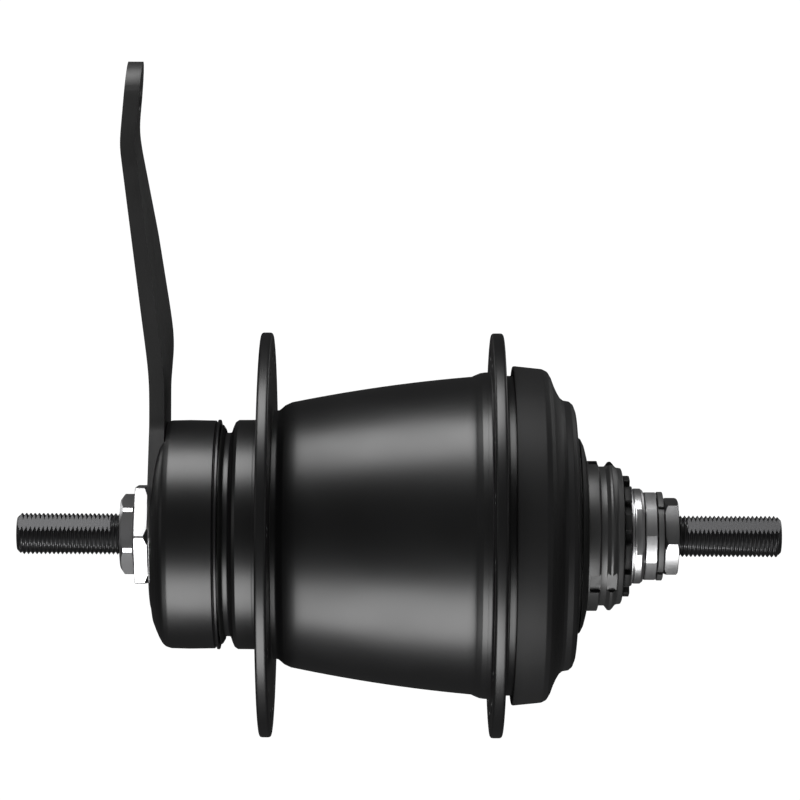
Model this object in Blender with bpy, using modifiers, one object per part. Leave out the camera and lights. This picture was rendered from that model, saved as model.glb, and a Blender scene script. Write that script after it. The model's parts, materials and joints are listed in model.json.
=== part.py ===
"""Internal-gear bicycle hub with a back-pedal brake, as an assembly of separate pieces.

Frame: +X runs along the axle towards the drive side, +Z is the way the brake arm points, and the
origin is on the axle's axis, midway between the outer faces of the two lock nuts. All dimensions
below are in millimetres and are turned into metres where a mesh is made. A place round the axle
is given by its clock angle: 0 degrees points at -Y, the front, and 90 degrees at +Z.
"""

import math

import bmesh
import bpy
from mathutils import Vector

MM = 0.001
GAP = 0.3  # clearance kept between neighbouring pieces
MERGE = 0.00001  # metres, for modifiers that merge
WIDE_STEPS = 28  # round the large turned pieces
STEPS = 24  # round the small ones

# Axle and its ends
AXLE_HALF_LENGTH = 87.75
AXLE_RADIUS = 4.76
AXLE_BORE = AXLE_RADIUS + GAP
AXLE_MIDDLE_RADIUS = 6.0
AXLE_MIDDLE = (-32.9, 9.6)
AXLE_FLAT_START = 66.2
AXLE_FLATS = 8.2
AXLE_FLAT_CLOCK = 39.5
LOCKNUT_FACE = 63.9
LOCKNUT_FLATS = 16.5
CONE_END = 55.9
CONE_FLATS = 9.7  # from the axis to each wrench flat

# Hub shell
SHELL_LEFT = -51.0
SHELL_RIGHT = 31.5
DRUM_BORE = 20.5
DRUM_RADIUS = 23.4
SHELL_WALL = 2.7
SHELL_RIGHT_BORE = 34.0
LEFT_FLANGE = (-31.8, -29.1)
RIGHT_FLANGE = (20.95, 23.75)
FLANGE_RADIUS = 46.5
FLANGE_ROUND = 0.7
FLANGE_SEAT_GAP = 0.02
LEFT_SEAT = 26.4
SPOKE_HOLES = 18
SPOKE_CIRCLE = 41.5
SPOKE_HOLE_RADIUS = 1.4
NECK_RADIUS = 36.75
SHOULDER_RADIUS = 37.5
BARREL = (-24.7, 16.5)

# Gear train: a fixed sun, three stepped planets, a ring gear and a free second sun
MODULE = 1.25
ADDENDUM = 1.0
DEDENDUM = 1.375
BACKLASH = 0.25  # taken off each tooth at the pitch circle
PRESSURE_ANGLE = math.radians(20)
FIXED_SUN_TEETH = 18
PLANET_SMALL_TEETH = 12
PLANET_LARGE_TEETH = 15
FREE_SUN_TEETH = 15
RING_TEETH = 42
PLANETS = 3
PLANET_CIRCLE = MODULE * (FIXED_SUN_TEETH + PLANET_SMALL_TEETH) / 2
PIN_RADIUS = 2.5
FIXED_SUN_WIDTH = (-9.8, -0.8)
FREE_SUN_WIDTH = (0.9, 9.0)
SMALL_TEETH_WIDTH = (-9.5, -1.0)
LARGE_TEETH_WIDTH = (1.0, 9.0)
PLANET_WIDTH = (-10.8, 9.8)
LEFT_PLATE = (-14.3, -11.3)
RIGHT_PLATE = (10.3, 12.7)
PLATE_RADIUS = 23.0
RING_WIDTH = (-10.0, 0.3)

# Sun pawls, in two pockets of the axle
PAWL_WIDTH = (1.6, 8.4)
PAWL_PIVOT = (-3.1, 3.5)
PAWL_TIP = (3.1, 4.3)
RATCHET_TEETH = 16
RATCHET_DEPTH = 0.75
RATCHET_WALL_CLOCK = 117.5  # just past the tip of a raised pawl

# Ball bearings: centre of the balls along the axle, circle radius, ball radius, number of balls
LEFT_BALLS = (-47.2, 15.5, 2.38, 14)
MIDDLE_BALLS = (35.0, 22.0, 2.38, 18)
RIGHT_BALLS = (47.0, 10.9, 1.98, 11)

# Brake
ARM_THICKNESS = 3.45
ARM_FACE = -56.8
ARM_HEAD_RADIUS = 17.3
ARM_END_RADIUS = 8.75
ARM_END_HEIGHT = 99.95
ARM_HOLE_RADIUS = 3.4
ARM_BEND_LEAN = 0.3
ARM_OUTWARD_BEND = (39.4, 0.141, 2.3)  # height, slope beyond it, and how softly it turns
ARM_BACKWARD_BEND = (91.5, 0.225, 1.15)
NECK_FLATS = 15.0
BRAKE_NECK_RADIUS = 9.0
COVER_BACK = (-53.05, -51.7)
SHOE_WIDTH = (-41.3, -33.8)
SHOE_RADII = (16.6, 19.75)
SHOE_HALF_ANGLE = 49.5
ROLLER_CIRCLE = 14.3
ROLLER_RADIUS = 2.0
CAM_RISE = 1.43  # millimetres per radian
CAM_RADIUS = 12.0
CAM_WIDTH = (-41.3, -33.6)

# One-way clutch between carrier and shell
CLUTCH_ROLLERS = 6
CLUTCH_CIRCLE = 18.3
CLUTCH_ROLLER_RADIUS = 1.9
CLUTCH_WIDTH = (-31.5, -26.0)

# Shifter
ACTUATOR_WIDTH = (51.3, 52.7)
ACTUATOR_RADIUS = 14.0
SLEEVE_RADIUS = 6.5
WINDOW_HALF_ANGLE = 84.0
SHIFT_START_CLOCK = -75.0
SLOT_CLOCKS = (-38.0, 82.0, 202.0)

STEEL = ((0.55, 0.55, 0.56), 1.0, 0.35)
DARK_STEEL = ((0.16, 0.16, 0.17), 1.0, 0.4)
CHROME = ((0.8, 0.8, 0.8), 1.0, 0.12)
BLACK_PAINT = ((0.012, 0.012, 0.013), 0.0, 0.22)
BLACK_SATIN = ((0.03, 0.03, 0.032), 0.0, 0.45)
RUBBER = ((0.02, 0.02, 0.02), 0.0, 0.7)


# ---------------------------------------------------------------- outlines in the YZ plane

def at_clock(radius, clock):
    """The (y, z) place at this radius and clock angle."""
    angle = math.radians(clock)
    return (-radius * math.cos(angle), radius * math.sin(angle))


def arc(radius, first, last, steps, centre=(0.0, 0.0)):
    """Points of an arc between two clock angles, both ends included."""
    points = []
    for step in range(steps + 1):
        y, z = at_clock(radius, first + (last - first) * step / steps)
        points.append((centre[0] + y, centre[1] + z))
    return points


def circle(radius, sides=32, centre=(0.0, 0.0)):
    return arc(radius, 0, 360 * (sides - 1) / sides, sides - 1, centre)


def polygon(across_flats, sides, corner_clock):
    radius = across_flats / 2 / math.cos(math.pi / sides)
    return arc(radius, corner_clock, corner_clock + 360 * (sides - 1) / sides, sides - 1)


def sector(inner, outer, first, last, steps):
    """A slice of a ring between two clock angles."""
    return arc(outer, first, last, steps) + arc(inner, last, first, steps)


def bar(clock, inner, outer, half_width):
    """A radial bar at this clock angle."""
    along = Vector(at_clock(1.0, clock))
    across = Vector((-along.y, along.x)) * half_width
    corners = (along * inner - across, along * outer - across)
    corners += (along * outer + across, along * inner + across)
    return [tuple(corner) for corner in corners]


def double_flat(radius, across_flats, steps=8):
    """A circle with two flats facing +Y and -Y."""
    turn = math.degrees(math.acos(across_flats / 2 / radius))
    return arc(radius, turn, 180 - turn, steps) + arc(radius, 180 + turn, 360 - turn, steps)


def notched(outer, inner, teeth, share):
    """A ring outline whose edge steps between two radii, with this share of each pitch raised."""
    points = []
    pitch = 360 / teeth
    for tooth in range(teeth):
        clock = tooth * pitch
        points.append(at_clock(inner, clock - pitch * share / 2 - 1.0))
        points.append(at_clock(outer, clock - pitch * share / 2))
        points.append(at_clock(outer, clock + pitch * share / 2))
        points.append(at_clock(inner, clock + pitch * share / 2 + 1.0))
    return points


def filleted(corners):
    """A polygon of (y, z, radius) corners, each rounded by an arc of its radius."""
    points = []
    count = len(corners)
    for index, (y, z, radius) in enumerate(corners):
        corner = Vector((y, z))
        before = (Vector(corners[index - 1][:2]) - corner).normalized()
        after = (Vector(corners[(index + 1) % count][:2]) - corner).normalized()
        if radius == 0:
            points.append((y, z))
            continue
        half = before.angle(after) / 2
        start = corner + before * radius / math.tan(half)
        end = corner + after * radius / math.tan(half)
        for step in range(4):
            share = step / 3
            bend = (1 - share) ** 2 * start + 2 * share * (1 - share) * corner + share ** 2 * end
            points.append(tuple(bend))
    return points


def involute(angle):
    return math.tan(angle) - angle


def gear(teeth, tooth_clock, addendum=ADDENDUM, dedendum=DEDENDUM, thinning=BACKLASH):
    """An involute gear outline with one tooth centred on the given clock angle."""
    pitch_radius = MODULE * teeth / 2
    base_radius = pitch_radius * math.cos(PRESSURE_ANGLE)
    half_tooth = (math.pi * MODULE / 2 - thinning) / 2 / pitch_radius
    flank = []
    for share in (0.0, 1.0):
        radius = pitch_radius - dedendum + (addendum + dedendum) * share
        pressure = math.acos(min(1.0, base_radius / radius))
        half = half_tooth + involute(PRESSURE_ANGLE) - involute(pressure)
        flank.append((radius, math.degrees(half)))
    points = []
    for tooth in range(teeth):
        middle = tooth_clock + 360 * tooth / teeth
        points += [at_clock(radius, middle - half) for radius, half in flank]
        points += [at_clock(radius, middle + half) for radius, half in reversed(flank)]
    return points


def internal_gear(teeth, tooth_clock):
    """The hole of a ring gear: the space between two inward teeth has an outward tooth's shape."""
    space_clock = tooth_clock + 180 / teeth
    return gear(teeth, space_clock, DEDENDUM, ADDENDUM, -BACKLASH)


# ---------------------------------------------------------------- objects

def collection(name):
    made = bpy.data.collections.new(name)
    bpy.context.scene.collection.children.link(made)
    return made


def finish(name, look):
    colour, metallic, roughness = look
    material = bpy.data.materials.new(name)
    material.use_nodes = True
    shader = material.node_tree.nodes["Principled BSDF"]
    shader.inputs["Base Color"].default_value = (*colour, 1.0)
    shader.inputs["Metallic"].default_value = metallic
    shader.inputs["Roughness"].default_value = roughness
    return material


def add_part(name, mesh, look, parent=None):
    thing = bpy.data.objects.new(name, mesh)
    parts.objects.link(thing)
    thing.parent = parent
    if not mesh.materials:
        mesh.materials.append(finish(name, look))
    return thing


def add_tool(name, mesh):
    """A cutter, or a piece to be joined on: hidden from renders and drawn as wire."""
    thing = bpy.data.objects.new(name, mesh)
    cutters.objects.link(thing)
    thing.hide_render = True
    thing.display_type = "WIRE"
    return thing


def add_pivot(name, y=0.0, z=0.0, parent=None):
    pivot = bpy.data.objects.new(name, None)
    parts.objects.link(pivot)
    pivot.location = (0.0, y * MM, z * MM)
    pivot.parent = parent
    return pivot


def flat_mesh(name, outlines, low, high):
    """Outlines in the YZ plane, the ones inside others being holes, made solid from low to high."""
    shape = bmesh.new()
    for outline in outlines:
        corners = [shape.verts.new((low * MM, y * MM, z * MM)) for y, z in outline]
        for index, corner in enumerate(corners):
            shape.edges.new((corners[index - 1], corner))
    bmesh.ops.triangle_fill(shape, use_beauty=True, edges=shape.edges[:])
    made = bmesh.ops.extrude_face_region(shape, geom=shape.faces[:])["geom"]
    far = [item for item in made if isinstance(item, bmesh.types.BMVert)]
    bmesh.ops.translate(shape, vec=((high - low) * MM, 0, 0), verts=far)
    bmesh.ops.recalc_face_normals(shape, faces=shape.faces[:])
    mesh = bpy.data.meshes.new(name)
    shape.to_mesh(mesh)
    shape.free()
    return mesh


def flat_part(name, outlines, width, look, parent=None):
    return add_part(name, flat_mesh(name, outlines, *width), look, parent)


def profile_mesh(name, profile, closed=True):
    """A chain of (x, radius) points for a Screw modifier, run so that the faces point out."""
    area = 0.0
    for (x_a, r_a), (x_b, r_b) in zip(profile, profile[1:] + profile[:1]):
        area += x_a * r_b - x_b * r_a
    run = profile if area > 0 else profile[::-1]
    mesh = bpy.data.meshes.new(name)
    edges = [(index, index + 1) for index in range(len(run) - 1)]
    if closed:
        edges.append((len(run) - 1, 0))
    mesh.from_pydata([(x * MM, 0.0, r * MM) for x, r in run], edges, [])
    return mesh


def turn(thing, steps):
    screw = thing.modifiers.new("Turn", "SCREW")
    screw.axis = "X"
    screw.steps = steps
    screw.render_steps = steps
    screw.use_merge_vertices = True
    screw.merge_threshold = MERGE
    screw.use_normal_calculate = False
    return thing


def turned_part(name, profile, look, steps=STEPS, parent=None, closed=True):
    return turn(add_part(name, profile_mesh(name, profile, closed), look, parent), steps)


def turned_tool(name, profile, steps=WIDE_STEPS):
    return turn(add_tool(name, profile_mesh(name, profile)), steps)


def boolean(thing, tool, operation):
    modifier = thing.modifiers.new(tool.name, "BOOLEAN")
    modifier.operation = operation
    modifier.object = tool
    modifier.solver = "EXACT"


def evaluated_mesh(thing):
    bpy.context.view_layer.update()
    view = thing.evaluated_get(bpy.context.evaluated_depsgraph_get())
    return bpy.data.meshes.new_from_object(view)


def flat_tool(name, outlines, low, high):
    return add_tool(name, flat_mesh(name, outlines, low, high))


# ---------------------------------------------------------------- axle and the nuts on it

def barrel_radius(x):
    """The shell's outside between the flanges, a shallow parabola."""
    return 34.69 + 0.1343 * x - 0.00146 * x * x


def make_axle():
    end = AXLE_HALF_LENGTH
    low, high = AXLE_MIDDLE
    profile = [(-end, 0.0), (-end, AXLE_RADIUS - 1.0), (-end + 1.0, AXLE_RADIUS)]
    profile += [(low, AXLE_RADIUS), (low, AXLE_MIDDLE_RADIUS)]
    profile += [(high, AXLE_MIDDLE_RADIUS), (high, AXLE_RADIUS)]
    profile += [(end - 1.0, AXLE_RADIUS), (end, AXLE_RADIUS - 1.0), (end, 0.0)]
    axle = turned_part("axle", profile, DARK_STEEL, 20, closed=False)
    for side in (-1, 1):
        for clock in (AXLE_FLAT_CLOCK, AXLE_FLAT_CLOCK + 180):
            ends = sorted((side * AXLE_FLAT_START, side * (end + 2)))
            outline = bar(clock, AXLE_FLATS / 2, 8.0, 8.0)
            name = f"axle_flat_{side}_{clock:.0f}"
            boolean(axle, flat_tool(name, [outline], *ends), "DIFFERENCE")
    for index, turn_round in enumerate((1, -1)):
        pocket = [(-4.7, 2.0), (4.9, 2.0), (4.9, 9.0), (-4.7, 9.0)]
        outline = [(y * turn_round, z * turn_round) for y, z in pocket]
        tool = flat_tool(
            f"pawl_pocket_{index + 1}", [outline], PAWL_WIDTH[0] - GAP, PAWL_WIDTH[1] + GAP
        )
        boolean(axle, tool, "DIFFERENCE")


def make_nuts():
    bore = circle(AXLE_BORE, 20)
    left = polygon(LOCKNUT_FLATS, 6, 39.7)
    flat_part("left_locknut", [left, bore], (-LOCKNUT_FACE, -60.7), DARK_STEEL)
    flat_part("arm_nut", [polygon(22.0, 6, -1.2), bore], (-60.4, -57.3), STEEL)
    flat_part("adjusting_nut", [polygon(20.0, 10, 2.0), bore], (56.2, 58.8), STEEL)
    low, high = 59.1, 60.4
    washer = flat_part("lock_washer", [circle(10.2), bore], (low, high), DARK_STEEL)
    notches = [bar(clock, 9.5, 12.0, 1.0) for clock in (38, 128, 218, 308)]
    boolean(washer, flat_tool("washer_notches", notches, low - 1, high + 1), "DIFFERENCE")
    right = polygon(LOCKNUT_FLATS, 6, 50.5)
    flat_part("right_locknut", [right, bore], (60.7, LOCKNUT_FACE), DARK_STEEL)


def race(balls, side_x, side_r):
    """Two points of a 45 degree race, just clear of the balls on the side asked for."""
    centre_x, circle_radius, ball_radius, _ = balls
    reach = (ball_radius + GAP) / math.sqrt(2)
    slope = side_x * side_r
    points = []
    for along in (-1.1, 1.1):
        x = centre_x + side_x * reach + along
        points.append((x, circle_radius + side_r * reach - slope * along))
    return points


def make_right_cone():
    (x_a, r_a), (x_b, r_b) = race(RIGHT_BALLS, 1, -1)
    bore = SLEEVE_RADIUS + GAP
    profile = [(x_a, bore), (x_a, r_a), (x_b, r_b), (53.7, r_b), (53.7, 11.0), (55.2, 10.9)]
    profile += [(CONE_END, 10.3), (CONE_END, AXLE_BORE), (54.2, AXLE_BORE), (54.2, bore)]
    cone = turned_part("right_cone", profile, CHROME, STEPS)
    low, high = ACTUATOR_WIDTH
    windows = []
    for middle in (0, 180):
        first = middle - WINDOW_HALF_ANGLE
        last = middle + WINDOW_HALF_ANGLE
        windows.append(sector(5.6, 12.0, first, last, 8))
    tool = flat_tool("cone_windows", windows, low - GAP, high + GAP)
    boolean(cone, tool, "DIFFERENCE")
    for clock in (7.5, 187.5):
        flat = bar(clock, CONE_FLATS, 13.0, 6.0)
        tool = flat_tool(f"cone_flat_{clock:.0f}", [flat], 54.1, CONE_END + 1)
        boolean(cone, tool, "DIFFERENCE")
    ring = [(53.0, r_b + GAP), (53.0, 11.5), (53.4, 11.5), (53.4, r_b + GAP)]
    turned_part("actuator_clip", ring, CHROME, 20)


# ---------------------------------------------------------------- back-pedal brake, left end

def arm_outline(grown=0.0):
    """The brake arm flattened out: a round head, a shoulder, a blade and a round end."""
    head = arc(ARM_HEAD_RADIUS + grown, -22, -158, 10)
    far = [(19.3, 9.5, 7.0), (13.6, 25.0, 7.0), (13.6, 35.0, 5.0), (25.7, 44.0, 6.0)]
    far += [(19.4, 70.0, 12.0), (7.6, 90.0, 9.0)]
    near = [(-8.9, 84.0, 9.0), (-11.8, 50.0, 9.0), (-12.7, 25.0, 7.0), (-19.3, 9.5, 7.0)]
    tip = arc(ARM_END_RADIUS + grown, 180, 0, 8, (0.0, ARM_END_HEIGHT))
    far = [(y + grown, z, radius) for y, z, radius in far]
    near = [(y - grown, z, radius) for y, z, radius in near]
    corners = [(y, z, 0) for y, z in head] + far + [(y, z, 0) for y, z in tip] + near
    return filleted(corners)


def bend(height):
    """How far the blade stands outward at this height: two soft bends."""
    offset = 0.0
    for (start, slope, width), way in ((ARM_OUTWARD_BEND, -1), (ARM_BACKWARD_BEND, 1)):
        offset += way * slope * width * math.log1p(math.exp((height - start) / width))
    return offset


def make_brake_arm():
    neck_hole = double_flat(BRAKE_NECK_RADIUS + GAP, NECK_FLATS + 2 * GAP)
    clip_hole = circle(ARM_HOLE_RADIUS, 12, (0.0, ARM_END_HEIGHT))
    outlines = [arm_outline(), neck_hole, clip_hole]
    mesh = flat_mesh("brake_arm", outlines, ARM_FACE, ARM_FACE + ARM_THICKNESS)
    shape = bmesh.new()
    shape.from_mesh(mesh)
    lean = Vector((0.0, -ARM_BEND_LEAN, 1.0)).normalized()
    for height in (33, 37, 41, 46, 88, 91, 93, 96):
        everything = shape.verts[:] + shape.edges[:] + shape.faces[:]
        place = Vector((0.0, 0.0, height * MM))
        bmesh.ops.bisect_plane(
            shape, geom=everything, dist=1e-7, plane_co=place, plane_no=lean
        )
    for corner in shape.verts:
        corner.co.x += bend((corner.co.z - ARM_BEND_LEAN * corner.co.y) / MM) * MM
    bmesh.ops.triangulate(shape, faces=shape.faces[:])
    shape.to_mesh(mesh)
    shape.free()
    add_part("brake_arm", mesh, BLACK_SATIN)


def make_brake_cover():
    back, front = COVER_BACK
    bore = BRAKE_NECK_RADIUS + GAP
    dome = [(-56.6, bore), (-56.6, 18.0), (-56.2, 20.5), (-55.5, 22.3), (-54.8, 23.9)]
    dome += [(-54.1, 25.1), (-53.4, 25.8), (-52.1, 26.2), (-44.0, 26.3), (-41.0, 26.4)]
    dome += [(-41.0, DRUM_RADIUS + 0.9), (front, DRUM_RADIUS + 0.9), (front, bore)]
    cover = turned_part("brake_cover", dome, BLACK_PAINT, WIDE_STEPS)
    pocket = flat_tool("arm_pocket", [arm_outline(GAP)], -60.0, back)
    boolean(cover, pocket, "DIFFERENCE")
    lip = DRUM_RADIUS + 0.4
    seal = [(-40.7, lip), (-40.7, 25.3), (-40.4, 25.1), (-39.8, 24.3), (-39.8, lip)]
    turned_part("brake_seal", seal, RUBBER)


def make_brake_cone():
    (x_a, r_a), (x_b, r_b) = race(LEFT_BALLS, -1, -1)
    neck = BRAKE_NECK_RADIUS
    profile = [(ARM_FACE, AXLE_BORE), (ARM_FACE, neck), (-51.4, neck), (-51.4, r_a), (x_a, r_a)]
    profile += [(x_b, r_b), (-43.2, r_b), (-43.2, 18.5), (-41.7, 18.5), (-41.7, 9.5)]
    profile += [(-33.2, 9.5), (-33.2, AXLE_BORE)]
    cone = turned_part("brake_cone", profile, STEEL)
    for clock in (0, 180):
        outline = bar(clock, NECK_FLATS / 2, 12.0, 12.0)
        tool = flat_tool(f"neck_flat_{clock}", [outline], ARM_FACE - 2, -52.0)
        boolean(cone, tool, "DIFFERENCE")
    fingers = [bar(clock, 15.0, 18.3, 2.0) for clock in (30, 150, 270)]
    tool = flat_tool("shoe_fingers", fingers, -42.3, -33.6)
    boolean(cone, tool, "UNION")


def cam_outline():
    """Three ramps that rise against the cam's turning, one under each roller."""
    points = []
    low = CAM_RADIUS + CAM_RISE * math.radians(-10)
    for clock in (90, -30, -150):
        points.append(at_clock(low, clock + 39))
        for step in range(7):
            ahead = 35 - 45 * step / 6
            points.append(at_clock(CAM_RADIUS + CAM_RISE * math.radians(ahead), clock + ahead))
    return points


def make_brake_inside():
    pivot = add_pivot("brake_cam_axis")
    outlines = [cam_outline(), circle(9.8, 32)]
    flat_part("brake_cam", outlines, CAM_WIDTH, STEEL, pivot)
    inner, outer = SHOE_RADII
    for number, clock in enumerate((90, 210, 330), 1):
        first = clock - SHOE_HALF_ANGLE
        last = clock + SHOE_HALF_ANGLE
        outline = sector(inner, outer, first, last, 9)
        flat_part(f"brake_shoe_{number}", [outline], SHOE_WIDTH, STEEL)
        roller = circle(ROLLER_RADIUS, 12, at_clock(ROLLER_CIRCLE, clock))
        flat_part(f"brake_roller_{number}", [roller], (-41.0, -34.1), CHROME)


# ---------------------------------------------------------------- hub shell and what turns with it

def make_flange(name, width, seat, start, pivot):
    """A flange ring pressed on to the shell's seat, with its circle of spoke holes."""
    low, high = width
    bore = seat + FLANGE_SEAT_GAP
    edge = FLANGE_RADIUS - FLANGE_ROUND
    profile = [(low, bore), (low, edge), (low + FLANGE_ROUND, FLANGE_RADIUS)]
    profile += [(high - FLANGE_ROUND, FLANGE_RADIUS), (high, edge), (high, bore)]
    flange = turned_part(name, profile, BLACK_PAINT, WIDE_STEPS, pivot)
    holes = []
    for index in range(SPOKE_HOLES):
        centre = at_clock(SPOKE_CIRCLE, start + 360 * index / SPOKE_HOLES)
        holes.append(circle(SPOKE_HOLE_RADIUS, 6, centre))
    boolean(flange, flat_tool(f"{name}_spoke_holes", holes, low - 0.5, high + 0.5), "DIFFERENCE")


def make_shell():
    pivot = add_pivot("shell_axis")
    outside = [(SHELL_LEFT, DRUM_BORE), (SHELL_LEFT, DRUM_RADIUS), (-38.4, DRUM_RADIUS)]
    outside += [(-38.1, 24.8), (-37.6, 25.8), (-36.8, 26.3), (LEFT_FLANGE[0], LEFT_SEAT)]
    shoulder = LEFT_FLANGE[1] + FLANGE_SEAT_GAP
    outside += [(shoulder, LEFT_SEAT), (shoulder, 28.5), (-27.5, 28.5), (-26.0, 29.8)]
    low, high = BARREL
    steps = 5
    stations = [low + (high - low) * step / steps for step in range(steps + 1)]
    outside += [(x, barrel_radius(x)) for x in stations]
    shoulder = RIGHT_FLANGE[0] - FLANGE_SEAT_GAP
    outside += [(18.4, 37.3), (19.4, SHOULDER_RADIUS), (shoulder, SHOULDER_RADIUS)]
    outside += [(shoulder, NECK_RADIUS)]
    outside += [(SHELL_RIGHT, NECK_RADIUS)]
    inside = [(SHELL_RIGHT, SHELL_RIGHT_BORE), (18.0, SHELL_RIGHT_BORE)]
    inside += [(x, barrel_radius(x) - SHELL_WALL) for x in (15.0, -4.0, -23.5)]
    inside += [(-25.7, 26.0), (-26.0, DRUM_BORE)]
    turned_part("hub_shell", outside + inside, BLACK_PAINT, WIDE_STEPS, pivot)
    make_flange("left_flange", LEFT_FLANGE, LEFT_SEAT, 3.1, pivot)
    make_flange("right_flange", RIGHT_FLANGE, NECK_RADIUS, 13.1, pivot)
    make_cups(pivot)
    return pivot


def make_cups(pivot):
    (x_a, r_a), (x_b, r_b) = race(LEFT_BALLS, 1, 1)
    wall = DRUM_BORE - GAP
    cup = [(-50.5, wall), (-50.5, r_a), (x_a, r_a), (x_b, r_b), (-43.8, r_b), (-43.8, wall)]
    turned_part("left_ball_cup", cup, STEEL, STEPS, pivot)

    (x_a, r_a), (x_b, r_b) = race(MIDDLE_BALLS, 1, 1)
    cap = [(25.9, 38.7), (26.2, 39.0), (32.6, 38.3), (33.9, 37.6), (34.6, 36.4), (35.3, 34.5)]
    cap += [(36.0, 33.0), (36.7, 31.9), (37.4, 31.2), (38.8, 30.8), (39.6, 30.2), (40.2, 29.4)]
    seat = 23.8
    cap += [(40.2, seat), (38.5, seat), (38.5, r_b), (x_b, r_b), (x_a, r_a), (31.4, r_a)]
    cap += [(31.4, 28.5), (33.6, 28.5), (33.6, 31.0), (31.8, 34.0)]
    cap += [(31.8, NECK_RADIUS + GAP), (25.9, NECK_RADIUS + GAP)]
    turned_part("shell_end_cup", cap, BLACK_SATIN, WIDE_STEPS, pivot)
    ring = [(38.8, 19.3), (38.8, seat - GAP), (40.6, seat - GAP), (40.9, 23.2), (40.9, 19.3)]
    turned_part("driver_seal", ring, RUBBER, STEPS, pivot)


# ---------------------------------------------------------------- planet carrier, planets and suns

def make_carrier():
    pivot = add_pivot("carrier_axis")
    clocks = [90 + 360 * index / PLANETS for index in range(PLANETS)]
    bore = AXLE_MIDDLE_RADIUS + GAP
    low, high = LEFT_PLATE
    hub = 10.5
    profile = [(CLUTCH_WIDTH[0], bore), (CLUTCH_WIDTH[0], hub), (low, hub), (low, PLATE_RADIUS)]
    profile += [(high, PLATE_RADIUS), (high, bore)]
    left = turned_part("carrier_plate_left", profile, STEEL, STEPS, pivot)
    holes = [circle(PIN_RADIUS + GAP, 10, at_clock(PLANET_CIRCLE, clock)) for clock in clocks]
    boolean(left, flat_tool("left_pin_holes", holes, low - 1, high + 1), "DIFFERENCE")

    outlines = [circle(PLATE_RADIUS, 28), circle(SLEEVE_RADIUS + 2 * GAP, 20)] + holes
    right = flat_part("carrier_plate_right", outlines, RIGHT_PLATE, STEEL, pivot)
    pillars = [circle(3.4, 10, at_clock(19.4, clock + 60)) for clock in clocks]
    tool = flat_tool("carrier_pillars", pillars, high + GAP, RIGHT_PLATE[0] + 1)
    boolean(right, tool, "UNION")

    small_gap_clock = 180 / PLANET_SMALL_TEETH
    planet = make_planet_mesh(small_gap_clock)
    for number, clock in enumerate(clocks, 1):
        y, z = at_clock(PLANET_CIRCLE, clock)
        axis = add_pivot(f"planet_{number}_axis", y, z, pivot)
        pin = [circle(PIN_RADIUS, 10)]
        flat_part(f"planet_pin_{number}", pin, (low, RIGHT_PLATE[1]), CHROME, axis)
        gear_piece = add_part(f"planet_gear_{number}", planet, STEEL, axis)
        gear_piece.rotation_euler = (-math.radians(clock), 0.0, 0.0)
    make_clutch(pivot, hub)


def make_planet_mesh(small_start):
    """A stepped planet, drawn as if it sat at clock angle 0: a tooth gap faces the suns."""
    bore = circle(PIN_RADIUS + GAP, 10)
    small = gear(PLANET_SMALL_TEETH, small_start)
    large = gear(PLANET_LARGE_TEETH, 180 + 180 / PLANET_LARGE_TEETH)
    hub = flat_tool("planet_hub", [circle(5.0, 14), bore], *PLANET_WIDTH)
    for name, outline, width in (
        ("planet_small_teeth", small, SMALL_TEETH_WIDTH),
        ("planet_large_teeth", large, LARGE_TEETH_WIDTH),
    ):
        boolean(hub, flat_tool(name, [outline, circle(4.0, 12)], *width), "UNION")
    return evaluated_mesh(hub)


def make_clutch(pivot, hub):
    """A cam ring with six ramps, and six rollers held in a cage, inside the shell's bore."""
    clocks = [360 * index / CLUTCH_ROLLERS for index in range(CLUTCH_ROLLERS)]
    cam = []
    for clock in clocks:
        for ahead in (-29, -15, 0, 15, 29):
            cam.append(at_clock(16.0 + 1.5 * math.radians(ahead), clock + ahead))
    flat_part("clutch_cam", [cam, circle(hub + GAP, 32)], CLUTCH_WIDTH, STEEL, pivot)
    outlines = [circle(18.9, 24), circle(17.7, 24)]
    cage = flat_part("clutch_rollers", outlines, (-29.2, -28.2), CHROME, pivot)
    rollers = [circle(CLUTCH_ROLLER_RADIUS, 10, at_clock(CLUTCH_CIRCLE, clock)) for clock in clocks]
    boolean(cage, flat_tool("clutch_roller_set", rollers, -31.0, -26.5), "UNION")


def ratchet_bore():
    """The free sun's bore: saw teeth that a raised pawl's tip drops into."""
    points = []
    bore = AXLE_MIDDLE_RADIUS + GAP
    pitch = 360 / RATCHET_TEETH
    for tooth in range(RATCHET_TEETH):
        clock = RATCHET_WALL_CLOCK + pitch * tooth
        points.append(at_clock(bore, clock))
        points.append(at_clock(bore, clock + pitch * 0.3))
        points.append(at_clock(bore + RATCHET_DEPTH, clock + pitch * 0.96))
    return points


def make_suns():
    fixed = [gear(FIXED_SUN_TEETH, 90), circle(AXLE_MIDDLE_RADIUS + GAP, 32)]
    flat_part("sun_gear_fixed", fixed, FIXED_SUN_WIDTH, STEEL)
    pivot = add_pivot("free_sun_axis")
    outlines = [gear(FREE_SUN_TEETH, 90), ratchet_bore()]
    flat_part("sun_gear_free", outlines, FREE_SUN_WIDTH, STEEL, pivot)
    for number, way in ((1, 1), (2, -1)):
        axis = add_pivot(f"sun_pawl_{number}_axis", PAWL_PIVOT[0] * way, PAWL_PIVOT[1] * way)
        along = Vector(PAWL_TIP) - Vector(PAWL_PIVOT)
        outline = arc(1.1, -90, 90, 8) + [(along.x - 0.3, along.y + 0.7), (along.x, along.y + 0.5)]
        outline += [(along.x, along.y - 0.6)]
        pawl = flat_part(f"sun_pawl_{number}", [outline], PAWL_WIDTH, CHROME, axis)
        pawl.rotation_euler = (math.pi * (number - 1), 0.0, 0.0)


# ---------------------------------------------------------------- driver, ring gear and shifter

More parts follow.
